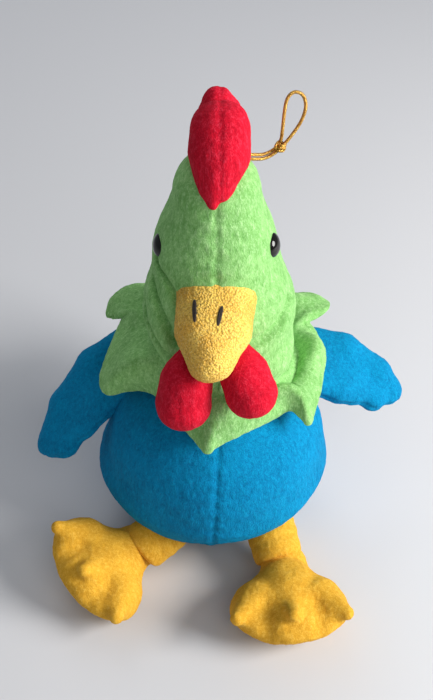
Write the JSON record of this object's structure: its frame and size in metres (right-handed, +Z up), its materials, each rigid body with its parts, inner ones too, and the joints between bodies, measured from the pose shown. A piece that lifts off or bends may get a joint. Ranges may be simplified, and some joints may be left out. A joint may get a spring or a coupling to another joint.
{
  "type": "stuffed plush rooster toy",
  "caption": "Sitting stuffed plush rooster with a zigzag collar, jointed soft neck, wings, legs, feet and wattles, and a cord hanging loop.",
  "frame": {"origin": "centre of the flat seat under the body", "axes": "+Z up, the rooster faces -Y, and its own left side is +X"},
  "size_m": [0.1771, 0.1707, 0.225],
  "materials": {
    "green_plush": "matte",
    "blue_plush": "matte",
    "red_plush": "matte",
    "yellow_plush": "matte",
    "beak_terry": "matte",
    "white_filling": "matte",
    "bag_fabric": "matte",
    "label_ribbon": "matte",
    "stitch_thread": "matte",
    "gold_cord": "matte",
    "bean_plastic": "matte",
    "eye_plastic": "gloss",
    "washer_plastic": "satin"
  },
  "bodies": {
    "torso": {"body_front_left_panel": "blue_plush", "body_front_right_panel": "blue_plush", "body_back_panel": "blue_plush", "body_base_panel": "blue_plush", "body_stuffing": "white_filling", "bean_bag": "bag_fabric", "bean_pellets": "bean_plastic", "care_label": "label_ribbon"},
    "tail": {"tail_left_panel": "blue_plush", "tail_right_panel": "blue_plush", "tail_stuffing": "white_filling"},
    "collar": {"collar_lower_layer": "green_plush", "collar_upper_layer": "green_plush"},
    "head": {"head_left_panel": "green_plush", "head_right_panel": "green_plush", "head_stuffing": "white_filling", "comb_left_panel": "red_plush", "comb_right_panel": "red_plush", "comb_stuffing": "white_filling", "beak_upper_panel": "beak_terry", "beak_lower_panel": "beak_terry", "beak_stuffing": "white_filling", "nostril_stitches": "stitch_thread", "left_eye": "eye_plastic", "right_eye": "eye_plastic", "left_eye_washer": "washer_plastic", "right_eye_washer": "washer_plastic", "hanging_loop": "gold_cord", "loop_knot": "gold_cord"},
    "left_wattle": {"left_wattle_front_panel": "red_plush", "left_wattle_back_panel": "red_plush", "left_wattle_stuffing": "white_filling"},
    "left_wing": {"left_wing_upper_panel": "blue_plush", "left_wing_lower_panel": "blue_plush", "left_wing_stuffing": "white_filling"},
    "left_leg": {"left_leg_sleeve": "yellow_plush", "left_leg_stuffing": "white_filling"},
    "left_foot": {"left_foot_upper_panel": "yellow_plush", "left_foot_sole_panel": "yellow_plush", "left_foot_stuffing": "white_filling"},
    "right_wattle": {"right_wattle_front_panel": "red_plush", "right_wattle_back_panel": "red_plush", "right_wattle_stuffing": "white_filling"},
    "right_wing": {"right_wing_upper_panel": "blue_plush", "right_wing_lower_panel": "blue_plush", "right_wing_stuffing": "white_filling"},
    "right_leg": {"right_leg_sleeve": "yellow_plush", "right_leg_stuffing": "white_filling"},
    "right_foot": {"right_foot_upper_panel": "yellow_plush", "right_foot_sole_panel": "yellow_plush", "right_foot_stuffing": "white_filling"}
  },
  "joints": [
    {"name": "neck_turn", "type": "hinge", "parent": "torso", "child": "collar", "pos_m": [0, 0, 0.098], "axis": [0, 0, 1], "range_deg": [-20, 20], "stiffness_Nm_per_rad": 0.12},
    {"name": "head_nod", "type": "hinge", "parent": "collar", "child": "head", "pos_m": [0, 0, 0.098], "axis": [1, 0, 0], "range_deg": [-12, 10], "stiffness_Nm_per_rad": 0.2},
    {"name": "left_wing_swing", "type": "hinge", "parent": "torso", "child": "left_wing", "pos_m": [0.0483, 0.008, 0.079], "axis": [0, -1, 0], "range_deg": [0, 45], "stiffness_Nm_per_rad": 0.02},
    {"name": "right_wing_swing", "type": "hinge", "parent": "torso", "child": "right_wing", "pos_m": [-0.048, 0.006, 0.079], "axis": [0, 1, 0], "range_deg": [0, 55], "stiffness_Nm_per_rad": 0.02},
    {"name": "left_hip_swing", "type": "hinge", "parent": "torso", "child": "left_leg", "pos_m": [0.025, -0.031, 0.019], "axis": [-0.9594, -0.2822, 0], "range_deg": [-30, 15]},
    {"name": "right_hip_swing", "type": "hinge", "parent": "torso", "child": "right_leg", "pos_m": [-0.024, -0.031, 0.019], "axis": [-0.5408, 0.8412, 0], "range_deg": [-30, 15]},
    {"name": "left_ankle_flex", "type": "hinge", "parent": "left_leg", "child": "left_foot", "pos_m": [0.03, -0.048, 0.0113], "axis": [-0.9927, -0.1203, 0], "range_deg": [-15, 12], "stiffness_Nm_per_rad": 0.03},
    {"name": "right_ankle_flex", "type": "hinge", "parent": "right_leg", "child": "right_foot", "pos_m": [-0.038, -0.04, 0.0113], "axis": [-0.4651, 0.8242, 0.3231], "range_deg": [-15, 8], "stiffness_Nm_per_rad": 0.03},
    {"name": "left_wattle_swing", "type": "hinge", "parent": "head", "child": "left_wattle", "pos_m": [0.007, -0.0336, 0.136], "axis": [-1, 0, 0], "range_deg": [0, 20], "stiffness_Nm_per_rad": 0.003},
    {"name": "right_wattle_swing", "type": "hinge", "parent": "head", "child": "right_wattle", "pos_m": [-0.007, -0.0336, 0.136], "axis": [-1, 0, 0], "range_deg": [0, 25], "stiffness_Nm_per_rad": 0.003},
    {"name": "tail_flex", "type": "hinge", "parent": "torso", "child": "tail", "pos_m": [0, 0.052, 0.056], "axis": [1, 0, 0], "range_deg": [-8, 8], "stiffness_Nm_per_rad": 0.02}
  ]
}
